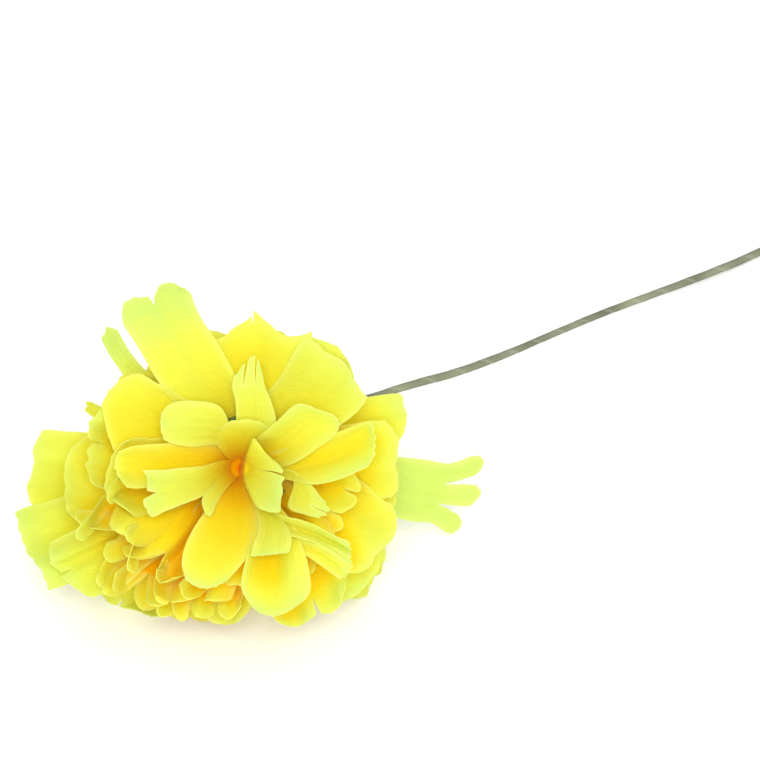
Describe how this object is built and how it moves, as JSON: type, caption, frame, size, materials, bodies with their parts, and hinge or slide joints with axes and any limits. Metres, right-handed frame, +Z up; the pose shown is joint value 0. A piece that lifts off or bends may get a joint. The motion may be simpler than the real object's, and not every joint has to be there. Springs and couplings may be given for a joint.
{
  "type": "artificial chrysanthemum flower",
  "caption": "Yellow cloth chrysanthemum head of ruffled, slit petals on a thin wire stem wrapped in grey-green paper tape, lying on its side.",
  "frame": {"origin": "centre of the box on the surface that the flower lies on", "axes": "+Z up, +X from the head along the stem to its cut end, the face of the head looking towards -Y and up"},
  "size_m": [0.1814, 0.0665, 0.0569],
  "materials": {
    "petal_cloth": "thin dyed cloth, matt, yellow with an orange heart and pale lime ends",
    "green_plastic": "dark green moulded plastic",
    "floral_tape": "grey-green waxed crepe paper tape, wound in a spiral",
    "wire_steel": "plain drawn wire"
  },
  "bodies": {
    "root": {"petal_layer_1": "petal_cloth", "petal_layer_2": "petal_cloth", "petal_layer_3": "petal_cloth", "petal_layer_4": "petal_cloth", "petal_layer_5": "petal_cloth", "petal_layer_6": "petal_cloth", "support_star": "green_plastic", "calyx": "green_plastic", "stem_tape": "floral_tape", "stem_wire": "wire_steel"}
  },
  "joints": []
}
